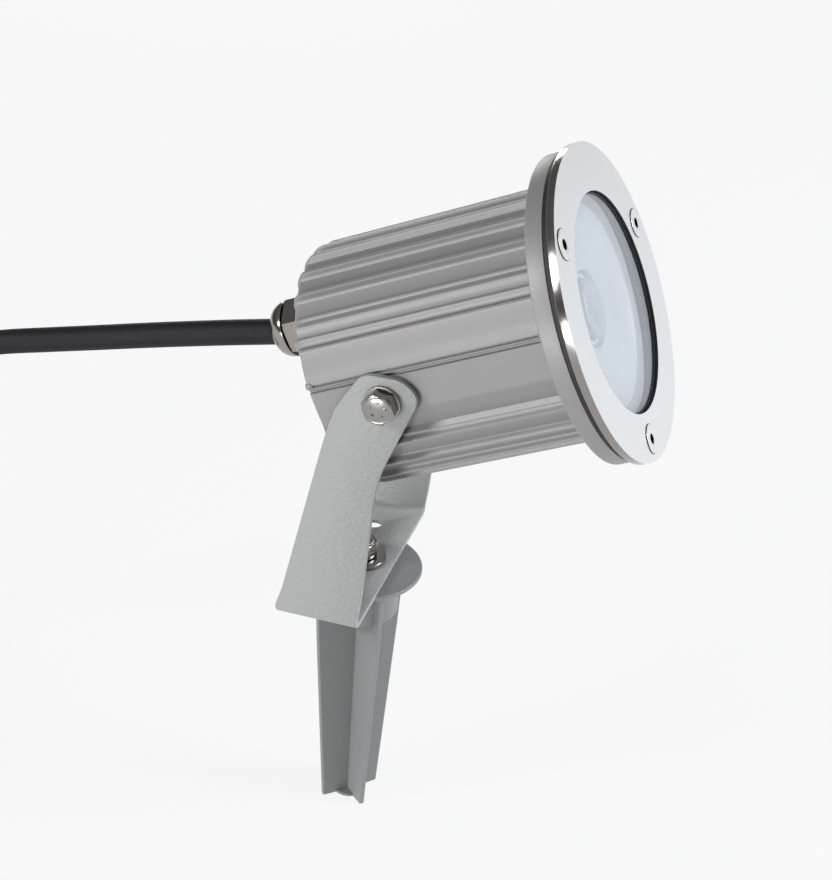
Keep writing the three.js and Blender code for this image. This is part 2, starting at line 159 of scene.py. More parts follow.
def lathe(profile, axis=TO_Z, offset=(0, 0, 0), segments=72):
    """Turns (radius, height) points about an axis. A point on the axis becomes a pole."""
    verts, rows = [], []
    for r, h in profile:
        if r < 1e-6:
            rows.append([len(verts)])
            verts.append((0.0, 0.0, h))
        else:
            rows.append(list(range(len(verts), len(verts) + segments)))
            turns = [2 * math.pi * k / segments for k in range(segments)]
            verts += [(r * math.cos(a), r * math.sin(a), h) for a in turns]
    faces = []
    for a, b in zip(rows, rows[1:]):
        for k in range(segments):
            j = (k + 1) % segments
            face = [a[k % len(a)], a[j % len(a)], b[j % len(b)], b[k % len(b)]]
            face = [v for i, v in enumerate(face) if v not in face[:i]]
            if len(face) > 2:
                faces.append(face)
    return moved((verts, faces), Matrix.Translation(offset) @ axis)


def cut(obj, tool):
    """Subtracts the mesh of tool from obj for good, and removes tool."""
    hole = obj.modifiers.new("cut", "BOOLEAN")
    hole.object, hole.operation, hole.solver = tool, "DIFFERENCE", "EXACT"
    result = bpy.data.meshes.new_from_object(obj.evaluated_get(bpy.context.evaluated_depsgraph_get()))
    obj.modifiers.clear()
    obj.data = result
    bpy.data.objects.remove(tool)


def moved(shape, matrix):
    return [tuple(matrix @ Vector(v)) for v in shape[0]], shape[1]


def joined(*shapes):
    verts, faces = [], []
    for v, f in shapes:
        n = len(verts)
        verts += v
        faces += [[i + n for i in face] for face in f]
    return verts, faces


def loft(rings, caps=True):
    """Skin through rings of equal length, with a flat cap at both ends when caps is set."""
    n = len(rings[0])
    last = (len(rings) - 1) * n
    verts = [tuple(p) for ring in rings for p in ring]
    faces = [[i * n + k, i * n + (k + 1) % n, (i + 1) * n + (k + 1) % n, (i + 1) * n + k]
             for i in range(len(rings) - 1) for k in range(n)]
    if caps:
        faces += [list(range(n)), [last + k for k in range(n)][::-1]]
    return verts, faces


def prism(points, low, high, axis=TO_Z):
    return moved(loft([[(x, y, h) for x, y in points] for h in (low, high)]), axis)


def sweep(path, radius, sides=20):
    """Tube of one radius along a list of points."""
    path = [Vector(p) for p in path]
    n = len(path)
    tangents = [(path[min(i + 1, n - 1)] - path[max(i - 1, 0)]).normalized() for i in range(n)]
    side = tangents[0].orthogonal().normalized()
    turns = [2 * math.pi * k / sides for k in range(sides)]
    rings = []
    for p, t in zip(path, tangents):
        side = (side - t * side.dot(t)).normalized()
        other = t.cross(side)
        rings.append([p + radius * (math.cos(a) * side + math.sin(a) * other) for a in turns])
    return loft(rings)


def spline(points, step=3.0):
    """Centripetal Catmull-Rom curve through the points, with a point about every step."""
    p = [Vector(q) for q in points]
    p = [2 * p[0] - p[1]] + p + [2 * p[-1] - p[-2]]
    out = []
    for i in range(1, len(p) - 2):
        a, b, c, d = p[i - 1:i + 3]
        t1 = (b - a).length ** 0.5
        t2 = t1 + (c - b).length ** 0.5
        t3 = t2 + (d - c).length ** 0.5
        n = max(2, round((c - b).length / step))
        for k in range(n):
            t = t1 + (t2 - t1) * k / n
            e = a * ((t1 - t) / t1) + b * (t / t1)
            f = b * ((t2 - t) / (t2 - t1)) + c * ((t - t1) / (t2 - t1))
            g = c * ((t3 - t) / (t3 - t2)) + d * ((t - t2) / (t3 - t2))
            h = e * ((t2 - t) / t2) + f * (t / t2)
            j = f * ((t3 - t) / (t3 - t1)) + g * ((t - t1) / (t3 - t1))
            out.append(h * ((t2 - t) / (t2 - t1)) + j * ((t - t1) / (t2 - t1)))
    return out + [p[-2]]


def hexagon(flats, turn=0.0):
    r = flats / math.sqrt(3)
    return [(r * math.cos(rad(60 * k + turn)), r * math.sin(rad(60 * k + turn))) for k in range(6)]


def hex_bar(flats, low, high, turn=0.0, chamfer=(0.0, 0.6), bore=0.0):
    """Hexagon from low to high whose ends are turned to a cone; chamfer is (at low, at high)."""
    corner, flat, per_side = flats / math.sqrt(3), flats / 2, 8
    inset = flat - 0.15

    def ring(h, limit):
        out = []
        for k in range(6 * per_side):
            a = 60.0 * k / per_side
            r = min(limit, flat / math.cos(rad((a % 60) - 30)))
            out.append((r * math.cos(rad(a + turn)), r * math.sin(rad(a + turn)), h))
        return out

    inner = [ring(low, bore), ring(high, bore)] if bore else []
    rings = inner[:1]
    if chamfer[0]:
        rings += [ring(low + chamfer[0] * share, inset + (corner - inset) * share)
                  for share in (0.0, 0.5, 1.0)]
    else:
        rings.append(ring(low, corner))
    for share in (1.0, 0.75, 0.5, 0.25, 0.0):
        rings.append(ring(high - chamfer[1] * share, inset + (corner - inset) * share ** 0.8))
    if bore:
        return loft(rings + [inner[1], inner[0]], caps=False)
    return loft(rings)


# ---------- materials ----------
def material(name, color, rough, metal=0.0, bump=0.0, scale=900.0, mottle=0.04, rough_vary=0.08, coat=0.0,
             stretch=(1, 1, 1), shine=0.5, depth=0.0002):
    """Principled surface with fine mottling, roughness variation and relief of a depth in metres."""
    m = bpy.data.materials.new(name)
    m.use_nodes = True
    nt = m.node_tree
    bsdf = nt.nodes["Principled BSDF"]
    coord = nt.nodes.new("ShaderNodeTexCoord")
    mapping = nt.nodes.new("ShaderNodeMapping")
    mapping.inputs["Scale"].default_value = stretch
    nt.links.new(coord.outputs["Object"], mapping.inputs["Vector"])
    broad = nt.nodes.new("ShaderNodeTexNoise")
    broad.inputs["Scale"].default_value = 38.0
    broad.inputs["Detail"].default_value = 3.0
    nt.links.new(coord.outputs["Object"], broad.inputs["Vector"])
    fine = nt.nodes.new("ShaderNodeTexNoise")
    fine.inputs["Scale"].default_value = scale
    fine.inputs["Detail"].default_value = 2.0
    nt.links.new(mapping.outputs["Vector"], fine.inputs["Vector"])

    ramp = nt.nodes.new("ShaderNodeMapRange")
    ramp.inputs["To Min"].default_value = 1.0 - mottle
    ramp.inputs["To Max"].default_value = 1.0 + mottle
    nt.links.new(broad.outputs["Fac"], ramp.inputs["Value"])
    tint = nt.nodes.new("ShaderNodeVectorMath")
    tint.operation = "SCALE"
    tint.inputs[0].default_value = color
    nt.links.new(ramp.outputs["Result"], tint.inputs["Scale"])
    nt.links.new(tint.outputs["Vector"], bsdf.inputs["Base Color"])

    wear = nt.nodes.new("ShaderNodeMapRange")
    wear.inputs["To Min"].default_value = max(0.02, rough - rough_vary)
    wear.inputs["To Max"].default_value = rough + rough_vary
    nt.links.new(fine.outputs["Fac"], wear.inputs["Value"])
    nt.links.new(wear.outputs["Result"], bsdf.inputs["Roughness"])
    bsdf.inputs["Metallic"].default_value = metal
    bsdf.inputs["Specular IOR Level"].default_value = shine
    bsdf.inputs["Coat Weight"].default_value = coat
    bsdf.inputs["Coat Roughness"].default_value = 0.2
    if bump:
        relief = nt.nodes.new("ShaderNodeBump")
        relief.inputs["Strength"].default_value = bump
        relief.inputs["Distance"].default_value = depth
        nt.links.new(fine.outputs["Fac"], relief.inputs["Height"])
        nt.links.new(relief.outputs["Normal"], bsdf.inputs["Normal"])
    return m


def glass_material():
    """Toughened glass with a faint milky film: mostly clear, with a pale body and a sharp reflection."""
    m = bpy.data.materials.new("front_glass")
    m.use_nodes = True
    nt = m.node_tree
    nt.nodes.remove(nt.nodes["Principled BSDF"])
    out = nt.nodes["Material Output"]
    clear = nt.nodes.new("ShaderNodeBsdfTransparent")
    clear.inputs["Color"].default_value = (0.98, 0.99, 1.0, 1)
    film = nt.nodes.new("ShaderNodeBsdfDiffuse")
    coord = nt.nodes.new("ShaderNodeTexCoord")
    noise = nt.nodes.new("ShaderNodeTexNoise")
    noise.inputs["Scale"].default_value = 22.0
    nt.links.new(coord.outputs["Object"], noise.inputs["Vector"])
    tone = nt.nodes.new("ShaderNodeMix")
    tone.data_type = "RGBA"
    tone.inputs["A"].default_value = (0.87, 0.91, 0.94, 1)
    tone.inputs["B"].default_value = (0.91, 0.95, 0.98, 1)
    nt.links.new(noise.outputs["Fac"], tone.inputs["Factor"])
    nt.links.new(tone.outputs["Result"], film.inputs["Color"])
    through = nt.nodes.new("ShaderNodeBsdfTranslucent")
    through.inputs["Color"].default_value = (0.92, 0.96, 1.0, 1)
    scatter = nt.nodes.new("ShaderNodeMixShader")
    scatter.inputs["Fac"].default_value = 0.5
    nt.links.new(film.outputs[0], scatter.inputs[1])
    nt.links.new(through.outputs[0], scatter.inputs[2])
    gloss = nt.nodes.new("ShaderNodeBsdfGlossy")
    gloss.inputs["Roughness"].default_value = 0.04
    body = nt.nodes.new("ShaderNodeMixShader")
    body.inputs["Fac"].default_value = 0.52
    nt.links.new(clear.outputs[0], body.inputs[1])
    nt.links.new(scatter.outputs[0], body.inputs[2])
    fresnel = nt.nodes.new("ShaderNodeFresnel")
    fresnel.inputs["IOR"].default_value = 1.42
    top = nt.nodes.new("ShaderNodeMixShader")
    nt.links.new(fresnel.outputs[0], top.inputs["Fac"])
    nt.links.new(body.outputs[0], top.inputs[1])
    nt.links.new(gloss.outputs[0], top.inputs[2])
    nt.links.new(top.outputs[0], out.inputs["Surface"])
    return m


def glass_back_material():
    """Back and edge of the glass: the front face already carries the reflection and the film."""
    m = bpy.data.materials.new("glass_back")
    m.use_nodes = True
    nt = m.node_tree
    nt.nodes.remove(nt.nodes["Principled BSDF"])
    clear = nt.nodes.new("ShaderNodeBsdfTransparent")
    clear.inputs["Color"].default_value = (0.97, 0.99, 1.0, 1)
    nt.links.new(clear.outputs[0], nt.nodes["Material Output"].inputs["Surface"])
    return m


# Painted and coated metal.
CAST = material("cast_paint", (0.265, 0.26, 0.262), 0.46, 0.18, bump=0.10, scale=1500, mottle=0.03)
POWDER = material("powder_coat", (0.325, 0.33, 0.328), 0.5, bump=0.8, scale=850, mottle=0.03,
                  stretch=(0.7, 1, 1.5), depth=0.0005)
SPIKE_PAINT = material("spike_coat", (0.215, 0.218, 0.22), 0.55, bump=0.35, scale=900, mottle=0.04)
# Bare metal.
SATIN = material("satin_steel", (0.79, 0.815, 0.835), 0.30, 1.0, bump=0.05, scale=700, mottle=0.02,
                 rough_vary=0.05)
POLISHED = material("polished_steel", (0.30, 0.28, 0.265), 0.15, 1.0, bump=0.02, scale=500, mottle=0.03,
                    rough_vary=0.04)
BOLT_STEEL = material("bolt_steel", (0.31, 0.295, 0.285), 0.24, 1.0, bump=0.15, scale=1300, mottle=0.1)
# Near-black steel that paints shade into the ring's bore and countersinks and onto the screws' sockets and
# side walls.
SHADOW_STEEL = material("painted_shade_steel", (0.05, 0.048, 0.046), 0.5, 1.0, bump=0.05, scale=600, mottle=0.05)
NICKEL = material("nickel", (0.34, 0.31, 0.29), 0.16, 1.0, bump=0.04, scale=600, mottle=0.05,
                  rough_vary=0.05)
BRASS = material("brass", (0.55, 0.42, 0.18), 0.3, 1.0, bump=0.05)
ALU = material("aluminium", (0.62, 0.63, 0.64), 0.4, 1.0, bump=0.1)
# Rubber and plastic.
SEAL = material("seal_rubber", (0.012, 0.012, 0.012), 0.6, bump=0.2)
SHEATH = material("cable_rubber", (0.013, 0.0115, 0.0145), 0.6, bump=0.25, scale=800, mottle=0.15,
                  shine=0.22)
MOULDED = material("plug_rubber", (0.020, 0.019, 0.021), 0.45, bump=0.3, scale=700, mottle=0.1)
WHITE = material("white_plastic", (0.55, 0.57, 0.60), 0.45, bump=0.05, mottle=0.02)
BOARD = material("circuit_board", (0.05, 0.16, 0.08), 0.5, bump=0.1)
AMBER = material("led_phosphor", (0.85, 0.70, 0.25), 0.5, bump=0.1)
DARK = material("component_black", (0.04, 0.04, 0.045), 0.5, bump=0.1)
# Lens and glass.
CLEAR = material("lens_plastic", (0.34, 0.37, 0.41), 0.12, bump=0.05, coat=0.6)
GLASS_EDGE = material("glass_edge", (0.72, 0.80, 0.86), 0.4, mottle=0.03)
GLASS = glass_material()
GLASS_BACK = glass_back_material()


# ---------- cable: straight out of the gland, round to the ground, a tied coil and a plug ----------
CORD_R = 4.5
COIL = Vector((-228.0, -10.0, 5.6))
# Two turns spiral in on the ground, then the rest spirals out on top of them.
TURNS, RISE_FROM, RISE_TO = 4.125, 2.0, 2.125
COIL_START_R = 54.0
PLUG, PLUG_TURN = Vector((-311.4, -17.1, 17.0)), rad(-45.0)


def from_head(s, u):
    return tuple(HEAD @ Vector((s, 0.0, u)))


RUN = [
    from_head(-47.6, GLAND_U), (-40.5, 0, 189.7), (-48.1, 0, 188), (-63, 0, 184.5), (-82, 0, 179.9),
    (-101, 0, 175.1), (-121, 0, 170.1), (-140, 0, 165.2), (-160, 0.8, 158.2), (-171.5, 2.8, 149.3),
    (-180.3, 6.2, 137.8), (-185.8, 10.6, 124.6), (-187.7, 15.6, 110.3), (-188, 21.5, 92), (-188, 27.2, 74),
    (-188, 32.4, 58), (-188.2, 36.4, 45.6), (-189.8, 39.4, 35.2), (-193.4, 41.5, 25.6), (-199.7, 43, 17.3),
    (-208, 43.8, 11), (-217.6, 44, 7.1),
]


def coil_points():
    out = []
    steps = round(TURNS * 48)
    for k in range(steps + 1):
        t = TURNS * k / steps
        inward = 2 * CORD_R * min(t, RISE_FROM)
        outward = 2 * CORD_R * max(0.0, t - RISE_TO)
        lift = min(1.0, max(0.0, (t - RISE_FROM) / (RISE_TO - RISE_FROM)))
        r = COIL_START_R - inward + outward
        a = rad(90.0 + 360.0 * t)
        z = 2 * CORD_R * lift * lift * (3 - 2 * lift)
        out.append(COIL + Vector((r * math.cos(a), r * math.sin(a), z)))
    return out


def cable():
    coil = coil_points()
    end = coil[-1]
    along = Vector((math.sin(PLUG_TURN), -math.cos(PLUG_TURN), 0.0))
    relief_start = PLUG - 24.2 * along
    lead = [end + 12 * along + Vector((0, 0, 0.7)), PLUG - 38 * along - Vector((0, 0, 1.0)), relief_start]
    path = spline(RUN + [coil[0]])[:-1] + coil + spline([end] + lead)[1:]
    obj = build("cable", sweep(path, CORD_R, 24), SHEATH, None,
                ["cable_run", "cable_coil", "cable_end"])
    plug = plug_pieces()
    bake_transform(obj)
    tie()


def plug_pieces():
    """Plug lying beside the coil with a ribbed tapered relief. Its own axis is -Y."""
    at = Matrix.Translation(PLUG) @ Matrix.Rotation(PLUG_TURN, 4, "Z")
    pin_spread, pin_r = 9.5, 2.4

    ribs = [(7.0, 0.3), (6.9, 3.0)]
    for k in range(6):
        r = 6.8 - 0.26 * k
        h = 3.4 + 3.1 * k
        ribs += [(r, h), (r, h + 1.7), (r - 0.6, h + 2.0), (r - 0.65, h + 2.9)]
    ribs += [(5.2, 22.4), (5.0, 24.0), (4.6, 24.0)]
    relief = build("plug_relief_ribbed", lathe([(0, 0.3)] + ribs + [(0, 24.0)], TO_Y, segments=36), MOULDED,
                   "bracket", ["plug_relief"], at)

    profile = soften([(0, -34), (16.4, -34), (16.9, -30), (16.9, -14), (12, -4), (8.2, 0), (0, 0)],
                     [0, 1.2, 2, 6, 5, 1.5, 0], 5)
    verts, faces = lathe(profile, TO_Y, segments=64)
    grip = []
    for x, y, z in verts:
        pull = 1.0 - 0.09 * math.exp(-((y + 15.0) / 7.0) ** 2) * math.cos(math.atan2(z, x)) ** 4
        grip.append((x * pull, y, z * pull))
    body = build("plug_shell", (grip, faces), MOULDED, "bracket", ["plug_body"], at)

    pins = []
    for i, s in enumerate((-1, 1)):
        x = pin_spread * s
        pin = lathe(soften([(0, -53), (pin_r, -53), (pin_r, -34.3), (0, -34.3)], [0, 1.2, 0.2, 0], 4),
                    TO_Y, (x, 0, 0), 28)
        sleeve = lathe([(pin_r + 0.01, -44), (2.48, -43.8), (2.48, -34.3), (2.3, -34.3)],
                       TO_Y, (x, 0, 0), 28)
        pins.append(build(f"plug_pin_round_{i + 1}", pin, NICKEL, "bracket",
                          [f"plug_pin_{i + 1}"], at))
        pins.append(build(f"plug_pin_sleeve_{i + 1}", sleeve, MOULDED, "bracket", (), at))
    return [relief, body, *pins]


def tie():
    """Flat strap round the coil's two layers, on the side nearest the lamp."""
    x0, x1 = COIL.x + 31.3 - 0.6, COIL.x + 58.7 + 0.3
    thick, half_width = 0.8, 3.6
    outline = [(x0 - thick, 0.05), (x1 + thick, 0.05), (x1 + thick, 20.3), (x0 - thick, 20.3)]
    inner = [(x0, 0.8), (x1, 0.8), (x1, 19.5), (x0, 19.5)]
    outer = soften(outline, 3.0, 5, closed=True)
    inner = soften(inner, 2.4, 5, closed=True)
    rings = []
    for points, side in ((outer, -1), (outer, 1), (inner, 1), (inner, -1), (outer, -1)):
        rings.append([(x, COIL.y + half_width * side, z) for x, z in points])
    build("coil_strap", loft(rings, caps=False), MOULDED, "bracket", ["coil_tie"], bevel=0.15)


cable()


# ---------- spike ----------
def blade_ring(z, half):
    """Outline of one blade at height z, reaching half either side of the axis and thin at its edges."""
    edge, root, corner = min(0.95, half * 0.5), min(1.45, half * 0.75), 0.35
    side = [(half - corner, -edge), (half, corner - edge), (half, edge - corner), (half - corner, edge),
            (half * 0.2, root), (-half * 0.2, root)]
    return [(x, y, z) for x, y in side + [(-x, -y) for x, y in side]]


def spike():
    r, low, high = DISC["r"], DISC["low"], DISC["high"]
    disc = lathe(soften([(0, low), (r - 0.4, low), (r, low + 0.5), (r, high - 0.4), (r - 0.4, high),
                         (0, high)], [0, 0.4, 0.4, 0.4, 0.4, 0], 3), segments=120)
    hub = lathe(soften([(0, HUB["low"]), (HUB["r"] - 0.8, HUB["low"]), (HUB["r"] - 0.1, HUB["low"] + 0.7),
                        (HUB["r"], low - 2.0), (HUB["r"] + 2.1, low + 0.2), (0, low + 0.2)],
                       [0, 0.5, 0.6, 1.6, 0.2, 0], 5), segments=96)
    collar = lathe(soften([(0, -0.9), (6.3, -0.9), (6.3, 0.9), (0, 0.9)], [0, 0.5, 0.5, 0]), segments=48)
    stations = ((102.6, 17.9), (74.5, 16.4), (37, 13.9), (0, 11.4), (-55, 7.6), (-110, 3.9), (-118, 1.9),
                (-121.6, 0.7))
    blade = loft([blade_ring(z, half) for z, half in stations])
    blades = [moved(blade, Matrix.Rotation(rad(turn), 4, "Z")) for turn in (45, -45)]
    build("spike_disc", disc, SPIKE_PAINT, "stake", ["spike"])
    build("spike_hub", joined(hub, collar), SPIKE_PAINT, "stake")
    build("spike_blades", joined(*blades), SPIKE_PAINT, "stake", sharp=28)


def washer(inner, outer, low, high, axis, soft=0.25):
    return lathe(soften([(inner, low), (outer, low), (outer, high), (inner, high), (inner, low)],
                        [0, soft, soft, soft, 0], 3), axis, segments=64)


def bolt_head(low, axis, turn=0.0):
    """M6 hexagon head with a raised rim and small raised lugs on its top."""
    high, marks = low + 4.0, 5
    head = hex_bar(10.0, low, high, turn, (0.15, 0.7))
    rim = lathe([(4.1, high - 0.02), (4.3, high + 0.08), (4.6, high + 0.1), (4.8, high - 0.02)], segments=48)
    lug = prism([(-0.55, -0.28), (0.55, -0.28), (0.55, 0.28), (-0.55, 0.28)], high - 0.1, high + 0.25)
    lugs = []
    for k in range(marks):
        a = rad(25 + 360.0 * k / marks)
        place = Matrix.Translation((2.7 * math.cos(a), 2.7 * math.sin(a), 0))
        lugs.append(moved(lug, place @ Matrix.Rotation(a + 1.2, 4, "Z")))
    return moved(joined(head, rim, *lugs), axis)


def spike_fixings():
    build("spike_washer_flat", washer(3.3, 9.0, 107.1, 108.5, TO_Z), BOLT_STEEL, "stake",
          ["spike_flat_washer"])
    low, high, sprung, gap, steps = 108.8, 110.0, 0.35, 16.0, 40
    rings = []
    for k in range(steps + 1):
        a = rad(gap / 2 + (360.0 - gap) * k / steps)
        lift = sprung * k / steps
        bottom, top = low + 0.4 * lift, high + lift
        section = ((3.4, bottom), (5.5, bottom), (5.5, top), (3.4, top))
        rings.append([(r * math.cos(a), r * math.sin(a), z) for r, z in section])
    build("spike_washer_spring", loft(rings), BOLT_STEEL, "stake", ["spike_spring_washer"],
          bevel=0.1)
    shaft = lathe([(0, 90), (3.0, 90), (3.0, 110.8), (0, 110.8)], segments=32)
    build("spike_bolt_hex", joined(bolt_head(110.6, TO_Z, 12), shaft), BOLT_STEEL, "stake",
          ["spike_bolt"])


spike()
spike_fixings()


# ---------- bracket: one strip of sheet bent to a U, narrowing up the arms ----------
# Outline of an arm as (x, z) from the pivot, up the rear edge and down the front one, and its corner radii.
ARM = [(-34.6, -91.4), (-19.8, -20.0), (-16.4, -6.0), (-7.4, 8.9), (6.2, 9.0), (12.2, 3.6), (0.3, -27.3),
       (-1.2, -38.8), (-2.8, -65.8), (-4.8, -91.4)]
ARM_R = [0, 4, 5, 4, 3.4, 4.2, 5, 2, 1, 0]


def arm_span(z):
    """Lowest and highest x of the arm's outline at height z above the pivot."""
    points = soften(ARM, ARM_R, 10)
    found = []
    for (x0, z0), (x1, z1) in zip(points, points[1:]):
        if (z0 - z) * (z1 - z) <= 0 and z0 != z1:
            found.append(x0 + (x1 - x0) * (z - z0) / (z1 - z0))
    return min(found), max(found)


def strip_ring(y, z, ny, nz, span):
    """Cross-section of the strip at one place on its outer face, whose outward normal is (ny, nz)."""
    x0, x1 = span[0] + PIVOT.x, span[1] + PIVOT.x
    t = SHEET["t"]
    e = min(0.5, (x1 - x0) * 0.2)
    f = e * 0.3
    corner = [(x0, e), (x0 + f, f), (x0 + e, 0), (x1 - e, 0), (x1 - f, f), (x1, e), (x1, t - e),
              (x1 - f, t - f), (x1 - e, t), (x0 + e, t), (x0 + f, t - f), (x0, t - e)]
    return [(x, y - ny * d, z - nz * d) for x, d in corner]


def bracket():
    outer, low, bend = SHEET["outer"], SHEET["low"], SHEET["bend"]
    heights = [-88.0, -80, -72, -65.8, -58, -48, -38.8, -33, -29, -27.3, -25.5, -22, -18, -12, -6, -2, 0, 2,
               3.6, 5, 6, 7, 7.8, 8.4, 8.75, 8.93]
    right = [(outer, PIVOT.z + z, 1.0, 0.0, arm_span(z)) for z in reversed(heights)
             if PIVOT.z + z > low + bend + 0.3]
    base = (ARM[0][0] + 0.2, ARM[-1][0] + 0.05)
    for k in range(9):
        a = rad(90.0 * k / 8)
        y = outer - bend + bend * math.cos(a)
        z = low + bend - bend * math.sin(a)
        right.append((y, z, math.cos(a), -math.sin(a), base))
    left = [(-y, z, -ny, nz, span) for y, z, ny, nz, span in reversed(right)]
    obj = build("bracket_strap", loft([strip_ring(*place) for place in right + left]), POWDER, "bracket",
                ["bracket"], sharp=40)
    drill = [(0, low - 6.6), (BASE_HOLE["r"], low - 6.6), (BASE_HOLE["r"], low + 7.4), (0, low + 7.4)]
    holes = [lathe(drill, TO_Z, (BASE_HOLE["x"], y, 0), 40) for y in (-BASE_HOLE["y"], BASE_HOLE["y"])]
    cut(obj, build("bracket_cutter", joined(*holes), POWDER, None))


bracket()


# ---------- lamp head ----------
def fin_points(centre):
    """A flat-topped rib with small round edges, standing on concave valleys."""
    half = [(-2.9, VALLEY_R), (-2.1, VALLEY_R + 0.1), (-1.6, 40.0), (-1.3, 40.8), (-1.15, 41.5),
            (-0.9, RIB_R - 0.1), (-0.5, RIB_R)]
    points = half + [(0.0, RIB_R - 0.07)] + [(-a, r) for a, r in reversed(half)]
    return [(centre + a, r) for a, r in points]


def body_section():
    """The finned section as (angle, radius); angle 0 is the near side, 90 the top."""
    upper_ribs = (44.0, 57.5, 71.1, 84.6)
    lower_ribs = [203.5 + 13.3 * k for k in range(11)]
    side = [(u, PAD_Y) for u in (-5.65, -4.9, -2, 2, 6, 6.7, 6.9)]
    # Above the pad run a groove, a narrow ridge and a second groove.
    side += [(7.15, 37.5), (7.85, 37.4), (8.1, 38.5), (8.5, 38.95), (8.9, 38.95), (9.1, 38.0), (9.65, 38.0),
             (9.9, 38.8)]
    pad = [(math.degrees(math.atan2(u, y)), math.hypot(u, y)) for u, y in side]
    panel = [(a, PANEL_R) for a in (15.2, 18, 20, 22, 24, 26, 28, 29.6, 30.5)]
    panel += [(30.9, PANEL_R - 0.2), (31.1, 39.0), (31.7, 39.0)]
    shoulder = [(31.9, 39.9), (32.3, 40.5), (32.8, 40.75), (34.5, 41.05), (35.3, 41.1), (35.9, 40.9),
                (36.3, 40.2), (36.6, 39.6), (37.4, 39.35)]
    quarter = pad + panel + shoulder
    across = [180 - c for c in reversed(upper_ribs)]
    top = [p for c in (*upper_ribs, *across) for p in fin_points(c)]
    far = [(180 - a, r) for a, r in reversed(quarter)]
    low = [p for c in lower_ribs for p in fin_points(c)]
    under_far = [(188.6, 38.95), (193, 38.5), (199.0, 37.9), (199.8, 38.6)]
    under_near = [(540 - a, r) for a, r in reversed(under_far)]
    return quarter + top + far + under_far + low + under_near


def body_ring(section, s, limit):
    """The section at s, kept inside limit. Where limit closes in, the ribs still stand above the valleys."""
    closing = min(1.0, max(0.0, (BODY["limit"] - limit) / 8.0))
    ring = []
    for angle, r in section:
        r = min(r, limit - max(0.0, 41.4 - r) * 1.5 * closing)
        # The near and far sides end further forward, fading out 24 degrees from their middle.
        from_middle = abs((angle - 10.0 + 90.0) % 180.0 - 90.0)
        side = max(0.0, 1.0 - max(0.0, from_middle - 18.0) / 6.0)
        ring.append((s + 2.4 * side * closing, -r * math.cos(rad(angle)), r * math.sin(rad(angle))))
    return ring


def housing():
    section = body_section()
    corner, limit = BODY["corner"], BODY["limit"]
    stations = []
    for k in range(8):
        a = rad(90.0 * k / 7)
        stations.append((BODY["rear"] + corner * (1 - math.cos(a)), limit - 0.7 - corner * (1 - math.sin(a))))
    stations += [(s, limit) for s in (-18, 0, 20, 40, BODY["front"])]
    verts, faces = loft([body_ring(section, *station) for station in stations], caps=False)
    rear_face = list(range(len(section)))
    build("housing_body", (verts, faces + [rear_face]), CAST, "head", ["housing"], HEAD, sharp=40)

    r, back, face, seat = FLANGE["r"], FLANGE["back"], FLANGE["face"], FLANGE["seat"]
    flange = lathe(soften([(38.0, back), (r, back), (r, face), (seat, face)], [0, 0.5, 0.3, 0], 4), TO_X,
                   segments=180)
    build("housing_flange", flange, CAST, "head", (), HEAD)
    cavity_r, cavity_rear = 34.6, -21
    cavity = lathe([(0, cavity_rear), (cavity_r, cavity_rear), (cavity_r, face - 1.6), (seat, face - 1.6),
                    (seat, face)], TO_X, segments=96)
    build("housing_inside", cavity, CAST, "head", (), HEAD)
    knob = soften([(0, -1.2), (1.1, -0.9), (1.3, 0.4), (0.9, 1.6), (0, 1.8)], 0.4, 3)
    knobs = [lathe(knob, TO_X, (-24.2, y, 9.6), 20) for y in (-38.0, 38.0)]
    build("housing_knobs", joined(*knobs), CAST, "head", (), HEAD)


def screw_places():
    """Centres of the ring's three screws as (y, z) in the head's frame."""
    r = RING["screws"]
    return [(r * math.sin(rad(d)), -r * math.cos(rad(d))) for d in (-17, 103, 223)]


def gasket():
    low, high = 66.4, 67.9
    band = lathe(soften([(42, low), (51.2, low), (51.2, high), (42, high), (42, low)], [0, 0.3, 0.3, 0.3, 0]),
                 TO_X, segments=120)
    build("gasket_band", band, SEAL, "head", ["housing_gasket"], HEAD)


def front_ring(axis):
    """Flat ring with three countersinks. Its outer edge is polished; its bore and countersink cones are
    near-black steel as painted shade.
    """
    r, bore, back, face, seat = RING["r"], RING["bore"], RING["back"], RING["face"], FLANGE["seat"]
    lip = back + 1.2
    profile = soften([(bore, lip), (bore, face), (r, face), (r, back + 0.2), (r - 0.3, back), (seat, back),
                      (seat, lip), (bore, lip)], [0, 0, 0, 0.15, 0.15, 0.1, 0.1, 0], 3)
    ring = build("front_ring_plate", lathe(profile, TO_X, segments=256), SATIN, "head",
                 ["front_ring"], HEAD)
    countersink = [(0, 66), (2.8, 66), (2.8, 68.2), (5.08, 70.5), (5.08, 72), (0, 72)]
    tools = [lathe(countersink, TO_X, (0, y, z), 48) for y, z in screw_places()]
    ring.data.materials.append(POLISHED)
    ring.data.materials.append(SHADOW_STEEL)
    cut(ring, build("ring_cutter", joined(*tools), SATIN, None, (), HEAD))

    polished, painted_shade = 1, 2
    for polygon in ring.data.polygons:
        from_centre = polygon.center - PIVOT * MM
        radius = (from_centre - axis * from_centre.dot(axis)).length / MM
        facing = abs(polygon.normal.dot(axis))
        if facing < 0.6 and radius > r - 1.0:
            polygon.material_index = polished
        # The bore and the countersink cones take near-black steel: painted shade in these hollows.
        if facing < 0.6 and radius < bore + 0.7:
            polygon.material_index = painted_shade
        if bore + 2.0 < radius < r - 1.3 and facing < 0.95:
            polygon.material_index = painted_shade
        if facing > 0.98:
            polygon.use_smooth = False


